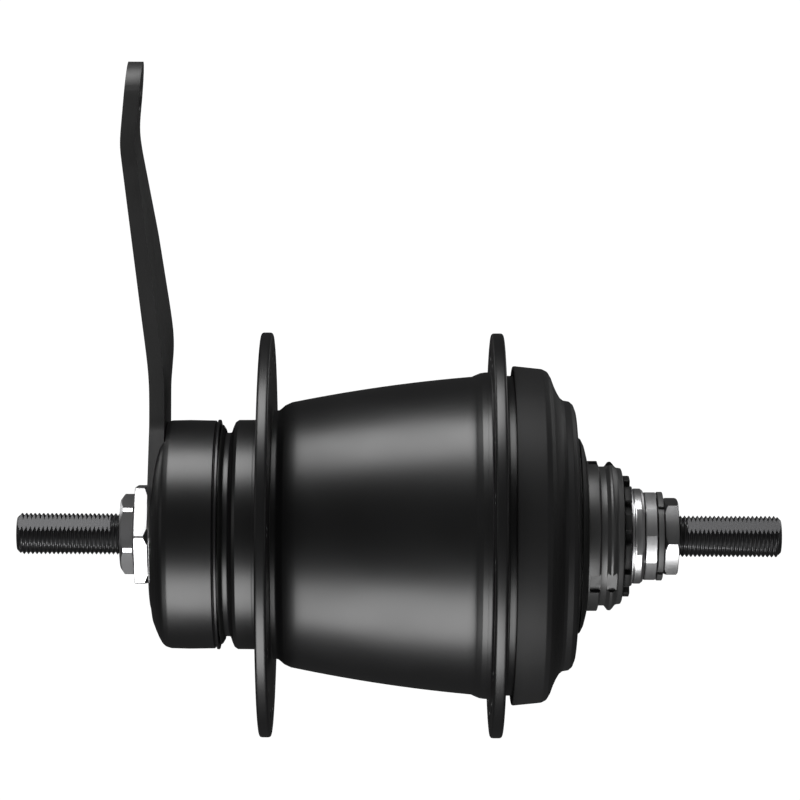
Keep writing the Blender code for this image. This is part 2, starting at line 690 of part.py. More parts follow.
def make_driver():
    pivot = add_pivot("driver_axis")
    (x_a, r_a), (x_b, r_b) = race(MIDDLE_BALLS, -1, -1)
    (x_c, r_c), (x_d, r_d) = race(RIGHT_BALLS, -1, 1)
    bore = 9.5
    profile = [(14.0, bore), (14.0, 14.0), (17.3, 14.0), (17.3, 16.5), (28.5, 16.5), (28.5, r_a)]
    profile += [(x_a, r_a), (x_b, r_b), (x_b, 17.9), (42.9, 17.9), (42.9, 17.25), (45.4, 17.25)]
    profile += [(45.7, 16.0), (47.1, 16.0), (47.9, 17.15), (48.6, 17.15), (49.5, 15.8)]
    profile += [(50.8, 15.65), (51.0, 15.2), (51.0, r_d), (x_d, r_d), (x_c, r_c), (x_c, bore)]
    driver = turned_part("driver", profile, DARK_STEEL, STEPS, pivot)
    slots = [bar(clock, 16.0, 20.0, 2.5) for clock in SLOT_CLOCKS]
    boolean(driver, flat_tool("driver_slots", slots, 43.3, 50.0), "DIFFERENCE")
    dish = [(41.2, 22.5), (41.5, 22.3), (42.2, 20.9), (42.8, 18.5), (42.8, 18.2), (42.3, 18.2)]
    dish += [(41.7, 20.6), (41.2, 21.6)]
    turned_part("driver_dust_cap", dish, BLACK_SATIN, STEPS, pivot)
    make_ring_gear(pivot)


def make_ring_gear(pivot):
    outlines = [circle(29.9, 42), internal_gear(RING_TEETH, 90)]
    ring = flat_part("ring_gear", outlines, RING_WIDTH, STEEL, pivot)
    drum = [(-0.7, 29.5), (-0.7, 31.2), (17.0, 31.2), (17.0, 14.3), (14.0, 14.3), (14.0, 29.5)]
    boolean(ring, turned_tool("ring_gear_drum", drum), "UNION")


def make_shifter():
    pivot = add_pivot("shifter_axis")
    pivot.rotation_euler = (-math.radians(SHIFT_START_CLOCK), 0.0, 0.0)
    inner = race(RIGHT_BALLS, 1, -1)[1][1] + GAP
    edge = notched(ACTUATOR_RADIUS, 12.5, 12, 0.55)
    outlines = [edge, circle(inner, 32)]
    ring = flat_part("shift_actuator", outlines, ACTUATOR_WIDTH, BLACK_SATIN, pivot)
    keys = [bar(clock, SLEEVE_RADIUS + GAP, inner + 1.0, 0.8) for clock in (0, 180)]
    tool = flat_tool("actuator_keys", keys, *ACTUATOR_WIDTH)
    tool.parent = pivot
    boolean(ring, tool, "UNION")
    tube = [(9.9, AXLE_BORE), (9.9, SLEEVE_RADIUS), (53.6, SLEEVE_RADIUS), (53.6, AXLE_BORE)]
    turned_part("shift_sleeve", tube, STEEL, 20, pivot)


def make_return_spring():
    turns = 4
    per_turn = 10
    curve = bpy.data.curves.new("return_spring", "CURVE")
    curve.dimensions = "3D"
    curve.bevel_depth = 0.5 * MM
    curve.bevel_resolution = 1
    curve.use_fill_caps = True
    line = curve.splines.new("POLY")
    line.points.add(turns * per_turn)
    for index, point in enumerate(line.points):
        y, z = at_clock(8.0, 360 * index / per_turn)
        x = 17.0 + 24.0 * index / (turns * per_turn)
        point.co = (x * MM, y * MM, z * MM, 1.0)
    curve.materials.append(finish("return_spring", STEEL))
    parts.objects.link(bpy.data.objects.new("return_spring", curve))


def make_ball_set(name, balls):
    """The balls of one bearing and the wire cage that spaces them, as one piece."""
    centre_x, circle_radius, ball_radius, count = balls
    pivot = add_pivot(f"{name}_axis")
    wire = [at_clock(0.8, 90 * corner) for corner in range(4)]
    profile = [(centre_x + x, circle_radius + r) for x, r in wire]
    cage = turned_part(name, profile, CHROME, 2 * count, pivot)
    shape = bmesh.new()
    for index in range(count):
        made = bmesh.ops.create_uvsphere(
            shape, u_segments=6, v_segments=4, radius=ball_radius * MM
        )
        y, z = at_clock(circle_radius, 360 * (index + 0.37) / count)
        place = Vector((centre_x * MM, y * MM, z * MM))
        bmesh.ops.translate(shape, vec=place, verts=made["verts"])
    mesh = bpy.data.meshes.new(f"{name}_balls")
    shape.to_mesh(mesh)
    shape.free()
    boolean(cage, add_tool(f"{name}_balls", mesh), "UNION")


for thing in list(bpy.data.objects):
    bpy.data.objects.remove(thing)
parts = collection("hub_gear")
cutters = collection("hub_gear_cutters")

make_axle()
make_nuts()
make_right_cone()
make_brake_arm()
make_brake_cover()
make_brake_cone()
make_brake_inside()
make_shell()
make_carrier()
make_suns()
make_driver()
make_shifter()
make_return_spring()
make_ball_set("left_ball_retainer", LEFT_BALLS)
make_ball_set("middle_ball_retainer", MIDDLE_BALLS)
make_ball_set("right_ball_retainer", RIGHT_BALLS)
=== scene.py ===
"""The looks of the bicycle hub gear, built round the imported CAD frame.

Lengths are in millimetres in the frame's own axes: +X along the axle to the drive side, +Z the way
the brake arm points. A clock angle goes round the axle from 0 degrees at the front (-Y) to 90 at +Z.
A turned piece is drawn as a closed section of corners (x, radius) or (x, radius, rounding). Its ends
along the axle come from the CAD node that it stands for.
"""

import json
import math

import bmesh
import bpy
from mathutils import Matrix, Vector


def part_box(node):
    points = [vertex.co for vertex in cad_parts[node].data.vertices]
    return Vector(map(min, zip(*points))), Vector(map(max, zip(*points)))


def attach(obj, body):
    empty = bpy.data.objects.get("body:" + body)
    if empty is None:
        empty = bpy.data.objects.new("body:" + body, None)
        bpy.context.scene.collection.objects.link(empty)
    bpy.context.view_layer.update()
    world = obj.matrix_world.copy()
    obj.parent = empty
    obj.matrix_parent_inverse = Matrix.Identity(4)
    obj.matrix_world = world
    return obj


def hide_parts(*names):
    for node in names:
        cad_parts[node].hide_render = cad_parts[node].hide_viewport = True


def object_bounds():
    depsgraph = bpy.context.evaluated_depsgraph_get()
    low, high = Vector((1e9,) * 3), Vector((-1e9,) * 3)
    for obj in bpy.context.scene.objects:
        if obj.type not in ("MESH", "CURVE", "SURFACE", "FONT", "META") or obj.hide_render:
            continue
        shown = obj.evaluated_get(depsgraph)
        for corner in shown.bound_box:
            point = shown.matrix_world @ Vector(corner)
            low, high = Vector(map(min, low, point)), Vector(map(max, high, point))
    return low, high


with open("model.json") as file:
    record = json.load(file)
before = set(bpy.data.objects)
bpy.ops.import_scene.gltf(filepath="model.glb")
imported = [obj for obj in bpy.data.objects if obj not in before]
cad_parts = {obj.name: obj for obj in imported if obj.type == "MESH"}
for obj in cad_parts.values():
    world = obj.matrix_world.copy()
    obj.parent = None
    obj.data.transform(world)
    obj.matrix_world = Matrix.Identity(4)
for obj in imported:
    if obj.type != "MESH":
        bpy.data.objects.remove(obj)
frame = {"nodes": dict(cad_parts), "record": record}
CAD_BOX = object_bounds()

MM = 0.001
SHELL_STEPS = 192  # facets round the shell and its flanges
ROUND_STEPS = 168  # facets round the other large turned pieces
SMALL_STEPS = 96
FILLET_STEPS = 5
NEARLY_STRAIGHT = math.pi - 0.02  # a corner this open isn't rounded
MOST_OF_A_SIDE = 0.48  # a rounding takes up to this share of the sides next to it
SHARP_ANGLE = math.radians(32)
NUT_SHARP_ANGLE = math.radians(12)
NUT_SIDE_STEPS = 14

behaviour = frame["record"]["behaviour"]
BODY_OF = {node: body for body, nodes in behaviour["bodies"].items() for node in nodes}
SLOT_OF = {row["node"]: row["material_slot"] for row in frame["record"]["subparts"]}

# Thread and flats of the axle
THREAD_PITCH = 25.4 / 26
THREAD_CREST = 4.76
THREAD_ROOT = 4.2
THREAD_SAMPLES = 10  # rings to one turn of the thread
THREAD_STEPS = 72
THREAD_INSIDE_NUT = 1.5  # how far the modelled thread goes on under the lock nuts
AXLE_FLAT_START = 66.2
AXLE_FLATS = 8.2
AXLE_FLAT_CLOCK = 39.5
AXLE_BORE = 5.06  # radius of the hole in what sits on the axle

# Nuts, across flats
LOCKNUT_FLATS = 16.5
ARM_NUT_FLATS = 22.0
ADJUSTING_NUT_FLATS = 20.0
NUT_EDGE = 0.12  # width of the small bevel on each edge

# Shell
DRUM_BORE = 20.5
DRUM_RADIUS = 23.4
SHELL_WALL = 2.7
SPOKE_HOLES = 18
SPOKE_CIRCLE = 41.5
SPOKE_HOLE_RADIUS = 1.4
LEFT_HOLES_START = 3.1  # clock of a flange's first spoke hole
RIGHT_HOLES_START = 13.1
FLANGE_RIM_ROUNDING = 0.75
FLANGE_FOOT_LEFT = 1.4  # how far a flange's foot runs out along the shell on each side
FLANGE_FOOT_RIGHT = 0.8
LEFT_NECK = 26.4  # radius of the shell left of the left flange
BARREL_FOOT = 28.5
SHOULDER = 37.5
NECK_RADIUS = 36.75
BARREL = (-24.7, 16.6)
BARREL_STEPS = 24

# Brake arm
ARM_THICKNESS = 3.45
ARM_FACE = -56.8
ARM_HEAD_RADIUS = 17.3
ARM_END_RADIUS = 8.75
ARM_END_HEIGHT = 99.95
ARM_HOLE_RADIUS = 3.4
ARM_BEND_LEAN = 0.3
ARM_OUTWARD_BEND = (39.4, 0.141, 2.3)  # height, slope beyond it, and how softly it turns
ARM_BACKWARD_BEND = (91.5, 0.225, 1.15)
ARM_FINE_CUTS = (*range(30, 54), *range(56, 82, 4), *range(82, 106))  # heights, close at the bends
POCKET_GAP = 0.3
POCKET_FLOOR = -53.05
NECK_RADIUS_IN_ARM = 9.3
NECK_FLATS_IN_ARM = 15.6

# Shift ring and its keys
RING_TEETH = 12
RING_CLOCK = -75.0

# Right cone
CONE_FLAT_CLOCK = 7.5

# Camera, lights and room, in metres and degrees; a level is a radiance
CAMERA_PLACE = (-0.0033, -0.825, 0.03107)
CAMERA_LENS = 161.3  # like the sensor's width, in millimetres
CAMERA_SENSOR = 36.0
CAMERA_SHIFT = 0.0184
CAMERA_ROLL = math.radians(-0.242)
SOFTBOX_DISTANCE = 0.8
SOFTBOXES_X = -0.112
BACKGROUND = 1.05
FRONT_LEVEL = 0.085
BACK_LEVEL = 0.05
FLOOR_GAP = 0.0003
FLOOR_HALF = 6.0


# ---------------------------------------------------------------- outlines

def at_clock(radius, clock):
    """(y, z) at this distance from the axle and clock angle in degrees."""
    angle = math.radians(clock)
    return (-radius * math.cos(angle), radius * math.sin(angle))


def arc(radius, first, last, steps, centre=(0.0, 0.0)):
    """Points from one clock angle to another round a centre."""
    points = []
    for step in range(steps + 1):
        y, z = at_clock(radius, first + (last - first) * step / steps)
        points.append((centre[0] + y, centre[1] + z))
    return points


def circle(radius, sides=48, centre=(0.0, 0.0)):
    """A full circle of points, the first not repeated."""
    return arc(radius, 0, 360 * (sides - 1) / sides, sides - 1, centre)


def sector(inner, outer, first, last, steps):
    """A piece of a ring between two clock angles."""
    return arc(outer, first, last, steps) + arc(inner, last, first, steps)


def bar(clock, inner, outer, half_width):
    """A rectangle that reaches outwards at a clock angle."""
    along = Vector(at_clock(1.0, clock))
    across = Vector((-along.y, along.x)) * half_width
    corners = (along * inner - across, along * outer - across)
    corners += (along * outer + across, along * inner + across)
    return [tuple(corner) for corner in corners]


def double_flat(radius, across_flats, steps=16):
    """A circle with a flat in front and one behind."""
    turn = math.degrees(math.acos(across_flats / 2 / radius))
    return arc(radius, turn, 180 - turn, steps) + arc(radius, 180 + turn, 360 - turn, steps)


def rounded(points, steps=FILLET_STEPS):
    """Each corner (a, b, radius) of a closed chain made into a curve; (a, b) stays sharp."""
    count = len(points)
    chain = []
    for index, point in enumerate(points):
        own = point[2] if len(point) > 2 else 0
        corner = Vector(point[:2])
        if own == 0:
            chain.append(tuple(corner))
            continue
        back = Vector(points[index - 1][:2]) - corner
        ahead = Vector(points[(index + 1) % count][:2]) - corner
        angle = back.angle(ahead)
        if angle > NEARLY_STRAIGHT:
            chain.append(tuple(corner))
            continue
        room = MOST_OF_A_SIDE * min(back.length, ahead.length)
        reach = min(own / math.tan(angle / 2), room)
        start = corner + back.normalized() * reach
        end = corner + ahead.normalized() * reach
        for step in range(steps + 1):
            share = step / steps
            bend = (1 - share) ** 2 * start + 2 * share * (1 - share) * corner + share ** 2 * end
            chain.append(tuple(bend))
    return chain


# ---------------------------------------------------------------- meshes

def mesh_object(name, shape, angle=SHARP_ANGLE):
    """The bmesh as an object with outward normals, smooth except at edges sharper than the angle."""
    bmesh.ops.remove_doubles(shape, verts=shape.verts[:], dist=1e-7)
    bmesh.ops.recalc_face_normals(shape, faces=shape.faces[:])
    mesh = bpy.data.meshes.new(name)
    shape.to_mesh(mesh)
    shape.free()
    thing = bpy.data.objects.new(name, mesh)
    bpy.context.scene.collection.objects.link(thing)
    shade(thing, angle)
    return thing


def shade(thing, angle=SHARP_ANGLE):
    """Smooth shading except across edges sharper than the angle."""
    thing.data.shade_smooth()
    thing.data.set_sharp_from_angle(angle=angle)


def loft(shape, rings, closed):
    """Quads between neighbouring rings of vertices, and from the last to the first when closed."""
    pairs = list(zip(rings, rings[1:]))
    if closed:
        pairs.append((rings[-1], rings[0]))
    for near, far in pairs:
        count = len(near)
        for index in range(count):
            after = (index + 1) % count
            shape.faces.new((near[index], near[after], far[after], far[index]))


def lathe(name, profile, steps=ROUND_STEPS):
    """A ring of the given closed (x, radius) section."""
    shape = bmesh.new()
    rings = []
    for x, radius in profile:
        ring = []
        for step in range(steps):
            y, z = at_clock(radius, 360 * step / steps)
            ring.append(shape.verts.new((x * MM, y * MM, z * MM)))
        rings.append(ring)
    loft(shape, rings, closed=True)
    return mesh_object(name, shape)


def prism(name, outlines, low, high):
    """Flat outlines, the inner ones being holes, made solid from low to high along X."""
    shape = bmesh.new()
    for outline in outlines:
        corners = [shape.verts.new((low * MM, y * MM, z * MM)) for y, z in outline]
        for index, corner in enumerate(corners):
            shape.edges.new((corners[index - 1], corner))
    bmesh.ops.triangle_fill(shape, use_beauty=True, edges=shape.edges[:])
    made = bmesh.ops.extrude_face_region(shape, geom=shape.faces[:])["geom"]
    far = [item for item in made if isinstance(item, bmesh.types.BMVert)]
    bmesh.ops.translate(shape, vec=((high - low) * MM, 0, 0), verts=far)
    return mesh_object(name, shape)


def apply_modifiers(thing):
    """Turns an object's modifiers into plain mesh."""
    bpy.context.view_layer.update()
    view = thing.evaluated_get(bpy.context.evaluated_depsgraph_get())
    mesh = bpy.data.meshes.new_from_object(view)
    thing.modifiers.clear()
    thing.data = mesh
    shade(thing)


def boolean(thing, tool, operation="DIFFERENCE"):
    """Cuts the tool out of an object, or adds it, and removes the tool."""
    modifier = thing.modifiers.new(tool.name, "BOOLEAN")
    modifier.operation = operation
    modifier.object = tool
    modifier.solver = "EXACT"
    apply_modifiers(thing)
    bpy.data.objects.remove(tool)


def soften_edges(thing, width, segments=2, angle=40):
    """Bevels the edges sharper than an angle in degrees."""
    bevel = thing.modifiers.new("Soft edges", "BEVEL")
    bevel.width = width * MM
    bevel.segments = segments
    bevel.limit_method = "ANGLE"
    bevel.angle_limit = math.radians(angle)
    apply_modifiers(thing)


def flatten_sides(thing):
    """Faces square to the axle are shaded flat, so the holes in them leave no streaks."""
    for face in thing.data.polygons:
        if abs(face.normal.x) > 0.9999:
            face.use_smooth = False


def join(name, things, angle=SHARP_ANGLE):
    """Several objects made one."""
    shape = bmesh.new()
    for thing in things:
        shape.from_mesh(thing.data)
        bpy.data.objects.remove(thing)
    return mesh_object(name, shape, angle)


def fit(piece, node, material):
    """The piece stands for a CAD node: it joins the node's body, takes the given material, and the node
    is hidden.
    """
    piece.data.materials.clear()
    piece.data.materials.append(material)
    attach(piece, BODY_OF[node])
    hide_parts(node)


def span(node):
    """A node's lowest and highest x in millimetres."""
    low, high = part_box(node)
    return low.x / MM, high.x / MM


# ---------------------------------------------------------------- materials

TOOL_MARKS_SCALE = 2600.0  # of the noise, in 1/m


def new_material(name, colour, metallic, roughness, specular=0.5):
    """A Principled material, its node tree and its shader."""
    material = bpy.data.materials.new(name)
    material.use_nodes = True
    tree = material.node_tree
    shader = tree.nodes["Principled BSDF"]
    shader.inputs["Base Color"].default_value = (*colour, 1.0)
    shader.inputs["Metallic"].default_value = metallic
    shader.inputs["Roughness"].default_value = roughness
    shader.inputs["Specular IOR Level"].default_value = specular
    return material, tree, shader


def coordinates(tree, turned):
    """Object coordinates, or (x, distance from the axle) for marks that run round the axle."""
    place = tree.nodes.new("ShaderNodeTexCoord").outputs["Object"]
    if not turned:
        return place
    split = tree.nodes.new("ShaderNodeSeparateXYZ")
    tree.links.new(place, split.inputs[0])
    flat = tree.nodes.new("ShaderNodeCombineXYZ")
    tree.links.new(split.outputs["Y"], flat.inputs["X"])
    tree.links.new(split.outputs["Z"], flat.inputs["Y"])
    radius = tree.nodes.new("ShaderNodeVectorMath")
    radius.operation = "LENGTH"
    tree.links.new(flat.outputs[0], radius.inputs[0])
    pair = tree.nodes.new("ShaderNodeCombineXYZ")
    tree.links.new(split.outputs["X"], pair.inputs["X"])
    tree.links.new(radius.outputs["Value"], pair.inputs["Y"])
    return pair.outputs[0]


def noise(tree, place, scale, detail=3.0):
    """A noise value at the place; the scale is in waves per metre."""
    texture = tree.nodes.new("ShaderNodeTexNoise")
    texture.inputs["Scale"].default_value = scale
    texture.inputs["Detail"].default_value = detail
    tree.links.new(place, texture.inputs["Vector"])
    return texture.outputs["Fac"]


def mapped(tree, value, low, high, from_low=0.3, from_high=0.7):
    """A value stretched from one range to another."""
    node = tree.nodes.new("ShaderNodeMapRange")
    node.inputs["From Min"].default_value = from_low
    node.inputs["From Max"].default_value = from_high
    node.inputs["To Min"].default_value = low
    node.inputs["To Max"].default_value = high
    tree.links.new(value, node.inputs["Value"])
    return node.outputs["Result"]


def blended(tree, value, dark, light):
    """A colour between two, by a value from 0 to 1."""
    node = tree.nodes.new("ShaderNodeMix")
    node.data_type = "RGBA"
    node.inputs["A"].default_value = (*dark, 1.0)
    node.inputs["B"].default_value = (*light, 1.0)
    tree.links.new(value, node.inputs["Factor"])
    return node.outputs["Result"]


def add_bump(tree, shader, height, distance):
    """A height value made into bumps this many millimetres deep."""
    bump = tree.nodes.new("ShaderNodeBump")
    bump.inputs["Distance"].default_value = distance * MM
    bump.inputs["Strength"].default_value = 1.0
    tree.links.new(height, bump.inputs["Height"])
    tree.links.new(bump.outputs["Normal"], shader.inputs["Normal"])


def paint(name, colour, specular, roughness, spread, peel, peel_scale=900.0):
    """Sprayed black paint: faint orange peel, and patches a little duller than others."""
    material, tree, shader = new_material(name, colour, 0.0, roughness, specular)
    place = coordinates(tree, turned=False)
    patches = noise(tree, place, 60.0, 2.0)
    tree.links.new(
        mapped(tree, patches, roughness - spread, roughness + spread), shader.inputs["Roughness"]
    )
    lighter = tuple(channel * 1.5 for channel in colour)
    tint = blended(tree, mapped(tree, noise(tree, place, 25.0), 0, 1), colour, lighter)
    tree.links.new(tint, shader.inputs["Base Color"])
    add_bump(tree, shader, noise(tree, place, peel_scale, 2.0), peel)
    return material


def metal(name, colour, roughness, spread, marks, turned=True):
    """Plated or bare steel with fine tool marks, round the axle or in every direction."""
    material, tree, shader = new_material(name, colour, 1.0, roughness)
    place = coordinates(tree, turned)
    lines = noise(tree, place, TOOL_MARKS_SCALE, 2.0)
    tree.links.new(
        mapped(tree, lines, roughness - spread, roughness + spread), shader.inputs["Roughness"]
    )
    clouds = noise(tree, coordinates(tree, turned=False), 110.0)
    darker = tuple(channel * 0.78 for channel in colour)
    tree.links.new(blended(tree, mapped(tree, clouds, 0, 1), darker, colour), shader.inputs["Base Color"])
    add_bump(tree, shader, lines, marks)
    return material


def rubber(name):
    """Dull black rubber with a fine grain."""
    material, tree, shader = new_material(name, (0.006, 0.006, 0.006), 0.0, 0.6, 0.1)
    place = coordinates(tree, turned=False)
    add_bump(tree, shader, noise(tree, place, 1500.0), 0.01)
    tree.links.new(mapped(tree, noise(tree, place, 300.0), 0.5, 0.7), shader.inputs["Roughness"])
    return material


def thread_metal(name):
    """Blackened steel, whose ground flats are a little darker and duller than the thread."""
    material, tree, shader = new_material(name, (0.05, 0.05, 0.05), 1.0, 0.42)
    geometry = tree.nodes.new("ShaderNodeNewGeometry")
    facing = tree.nodes.new("ShaderNodeVectorMath")
    facing.operation = "DOT_PRODUCT"
    facing.inputs[1].default_value = (0.0, *at_clock(1.0, AXLE_FLAT_CLOCK))
    tree.links.new(geometry.outputs["Normal"], facing.inputs[0])
    either_side = tree.nodes.new("ShaderNodeMath")
    either_side.operation = "ABSOLUTE"
    tree.links.new(facing.outputs["Value"], either_side.inputs[0])
    ground = mapped(tree, either_side.outputs[0], 0.0, 1.0, 0.9996, 0.9999)
    place = coordinates(tree, turned=False)
    grain = noise(tree, place, 900.0)
    tint = blended(tree, ground, (0.1, 0.1, 0.102), (0.07, 0.07, 0.072))
    tree.links.new(tint, shader.inputs["Base Color"])
    tree.links.new(mapped(tree, ground, 0.4, 0.55, 0.0, 1.0), shader.inputs["Roughness"])
    add_bump(tree, shader, grain, 0.002)
    return material


GLOSS_BLACK = paint("gloss_black_paint", (0.0028, 0.0028, 0.003), 0.48, 0.37, 0.02, 0.001)
CUP_BLACK = paint("cup_black_coating", (0.0083, 0.0083, 0.0085), 0.24, 0.5, 0.04, 0.004, 1400.0)
ARM_BLACK = paint("arm_black_coating", (0.013, 0.013, 0.013), 0.45, 0.45, 0.08, 0.015, 900.0)
SMALL_BLACK = paint("small_part_black", (0.008, 0.008, 0.008), 0.17, 0.48, 0.05, 0.004, 1500.0)
WASHER_BLACK = paint("washer_black", (0.03, 0.03, 0.03), 0.6, 0.5, 0.05, 0.004, 1500.0)
DARK_STEEL = paint("driver_black_oxide", (0.017, 0.017, 0.017), 0.65, 0.42, 0.05, 0.002, 1500.0)
NUT_STEEL = metal("dark_nut_steel", (0.62, 0.62, 0.63), 0.33, 0.02, 0.0004, turned=False)
THREAD_STEEL = thread_metal("thread_steel")
ZINC = metal("bright_zinc", (0.5, 0.5, 0.505), 0.32, 0.02, 0.0004)
# A darker copy of the bright zinc, painted shade: it dims the right lock nut's reflections
SHADED_ZINC = metal("shaded_zinc_copy", (0.33, 0.33, 0.333), 0.3, 0.02, 0.0004)
CHROME = metal("bright_plate", (0.5, 0.5, 0.505), 0.36, 0.02, 0.0004)
BARE_STEEL = metal("machined_steel", (0.5, 0.5, 0.51), 0.36, 0.05, 0.001)
RUBBER = rubber("seal_rubber")
SLOT_MATERIALS = {
    "dark_steel": DARK_STEEL,
    "steel": BARE_STEEL,
    "bright_plate": CHROME,
    "gloss_black": GLOSS_BLACK,
    "satin_black": CUP_BLACK,
    "seal_rubber": RUBBER,
}


def dress_frame():
    """Every CAD node gets its slot's procedural material."""
    for node, thing in frame["nodes"].items():
        thing.data.materials.clear()
        thing.data.materials.append(SLOT_MATERIALS[SLOT_OF[node]])


# ---------------------------------------------------------------- axle

def thread_radius(turns, end_distance):
    """Radius of the thread at this many turns along its helix, chamfered at the axle's end."""
    wave = abs(2 * (turns % 1.0) - 1)
    height = min(1.0, max(0.0, (wave - 0.08) / 0.84))
    radius = THREAD_ROOT + (THREAD_CREST - THREAD_ROOT) * height
    return min(radius, THREAD_CREST - 1.0 + end_distance)


def thread_section(low, high, end_x):
    """A capped length of threaded rod from low to high; end_x is the axle end it belongs to."""
    shape = bmesh.new()
    count = max(2, round((high - low) / THREAD_PITCH * THREAD_SAMPLES))
    rings = []
    for index in range(count + 1):
        x = low + (high - low) * index / count
        ring = []
        for step in range(THREAD_STEPS):
            turns = x / THREAD_PITCH - step / THREAD_STEPS
            y, z = at_clock(thread_radius(turns, abs(end_x - x)), 360 * step / THREAD_STEPS)
            ring.append(shape.verts.new((x * MM, y * MM, z * MM)))
        rings.append(ring)
    loft(shape, rings, closed=False)
    shape.faces.new(rings[0])
    shape.faces.new(rings[-1])
    bmesh.ops.recalc_face_normals(shape, faces=shape.faces[:])
    return shape


def cut_flat(shape, clock):
    """Slices the rod off along a flat and closes the cut."""
    normal = Vector((0.0, *at_clock(1.0, clock)))
    everything = shape.verts[:] + shape.edges[:] + shape.faces[:]
    cut = bmesh.ops.bisect_plane(
        shape, geom=everything, dist=1e-8, plane_co=normal * (AXLE_FLATS / 2 * MM),
        plane_no=normal, clear_outer=True,
    )
    edges = [item for item in cut["geom_cut"] if isinstance(item, bmesh.types.BMEdge)]
    bmesh.ops.triangle_fill(shape, use_beauty=True, edges=edges, normal=normal)


def make_axle():
    """Threaded lengths outside the lock nuts, flattened at both ends, and a plain middle."""
    low, high = span("axle")
    nut_left = span("left_locknut")[0] + THREAD_INSIDE_NUT
    nut_right = span("right_locknut")[1] - THREAD_INSIDE_NUT
    lengths = []
    for name, near, far, end in (("left", nut_left, -AXLE_FLAT_START, low),
                                 ("right", nut_right, AXLE_FLAT_START, high)):
        inner = thread_section(*sorted((near, far)), end)
        lengths.append(mesh_object(f"{name}_thread", inner))
        outer = thread_section(*sorted((far, end)), end)
        for clock in (AXLE_FLAT_CLOCK, AXLE_FLAT_CLOCK + 180):
            cut_flat(outer, clock)
        lengths.append(mesh_object(f"{name}_flats", outer))
    middle = circle(THREAD_ROOT, 64)
    lengths.append(prism("axle_middle", [middle], nut_left, nut_right))
    fit(join("threaded_axle", lengths, NUT_SHARP_ANGLE), "axle", THREAD_STEEL)


# ---------------------------------------------------------------- nuts

def nut(name, ends, sides, across_flats, corner_clock, corner_radius, chamfers, crown=0.0):
    """A nut whose corners are clipped round and chamfered at each end.

    chamfers holds, for the low and the high end, (radius where the chamfer starts, its slope),
    and crown is how far the middle of a side swells out.
    """
    low, high = ends
    apothem = across_flats / 2
    shape = bmesh.new()
    rings = []
    pitch = 360 / sides
    clip = math.degrees(math.acos(min(1.0, apothem / corner_radius)))
    marks = sorted({0.0, pitch / 2 - clip, pitch / 2 + clip}
                   | {pitch * step / NUT_SIDE_STEPS for step in range(NUT_SIDE_STEPS)})
    for side in range(sides):
        for mark in marks:
            swell = crown * (1 - (2 * mark / pitch - 1) ** 2)
            side_radius = (apothem - crown / 2) / math.cos(math.radians(mark - pitch / 2))
            radius = min(side_radius + swell, corner_radius)
            cuts = [max(0.0, radius - start) * slope for start, slope in chamfers]
            section = [(low, AXLE_BORE), (low, min(radius - NUT_EDGE, chamfers[0][0]))]
            section += [(low + cuts[0], radius - NUT_EDGE), (low + cuts[0] + NUT_EDGE, radius)]
            section += [(high - cuts[1] - NUT_EDGE, radius), (high - cuts[1], radius - NUT_EDGE)]
            section += [(high, min(radius - NUT_EDGE, chamfers[1][0])), (high, AXLE_BORE)]
            clock = corner_clock + side * pitch + mark
            ring = []
            for x, ring_radius in section:
                y, z = at_clock(ring_radius, clock)
                ring.append(shape.verts.new((x * MM, y * MM, z * MM)))
            rings.append(ring)
    loft(shape, rings, closed=True)
    return mesh_object(name, shape, NUT_SHARP_ANGLE)


def make_nuts():
    """Each nut has its own turn round the axle and its own corner radius and chamfers."""
    left = nut("left_locknut_chamfered", span("left_locknut"), 6, LOCKNUT_FLATS, 38.5, 9.25,
               ((7.9, 0.6), (8.8, 0.2)))
    fit(left, "left_locknut", NUT_STEEL)
    arm_nut = nut("arm_nut_chamfered", span("arm_nut"), 6, ARM_NUT_FLATS, -1.2, 12.58,
                  ((12.2, 0.3), (11.7, 0.85)))
    fit(arm_nut, "arm_nut", ZINC)
    adjusting = nut("adjusting_nut_chamfered", span("adjusting_nut"), 10, ADJUSTING_NUT_FLATS, 2.2, 10.49,
                    ((10.25, 0.5), (10.25, 0.5)), 0.16)
    fit(adjusting, "adjusting_nut", ZINC)
    # The right lock nut takes the darker zinc copy, painted shade on its facets
    right = nut("right_locknut_chamfered", span("right_locknut"), 6, LOCKNUT_FLATS, 50.5, 9.46,
                ((8.7, 0.9), (8.7, 0.5)), 0.34)
    fit(right, "right_locknut", SHADED_ZINC)


def make_lock_washer():
    """A thin disc with four notches."""
    low, high = span("lock_washer")
    section = [(low, AXLE_BORE), (low, 10.2, 0.2), (high, 10.2, 0.2), (high, AXLE_BORE)]
    disc = lathe("lock_washer_notched", rounded(section), SMALL_STEPS)
    notches = [bar(38.0 + turn, 9.5, 12.0, 1.0) for turn in (0, 90, 180, 270)]
    boolean(disc, prism("washer_notches", notches, low - 1, high + 1))
    fit(disc, "lock_washer", WASHER_BLACK)


# ---------------------------------------------------------------- left end

def arm_outline(grown=0.0):
    """The arm before bending, as (y, z): round head, wide web on the far side, round tip."""
    head = arc(ARM_HEAD_RADIUS + grown, -22, -158, 24)
    far = [(19.3, 9.5, 7.0), (13.6, 25.0, 7.0), (13.6, 35.0, 5.0), (25.7, 44.0, 6.0)]
    far += [(19.4, 70.0, 12.0), (7.6, 90.0, 9.0)]
    near = [(-8.9, 84.0, 9.0), (-11.8, 50.0, 9.0), (-12.7, 25.0, 7.0), (-19.3, 9.5, 7.0)]
    tip = arc(ARM_END_RADIUS + grown, 180, 0, 20, (0.0, ARM_END_HEIGHT))
    far = [(y + grown, z, radius) for y, z, radius in far]
    near = [(y - grown, z, radius) for y, z, radius in near]
    return rounded([(y, z, 0) for y, z in head] + far + [(y, z, 0) for y, z in tip] + near)


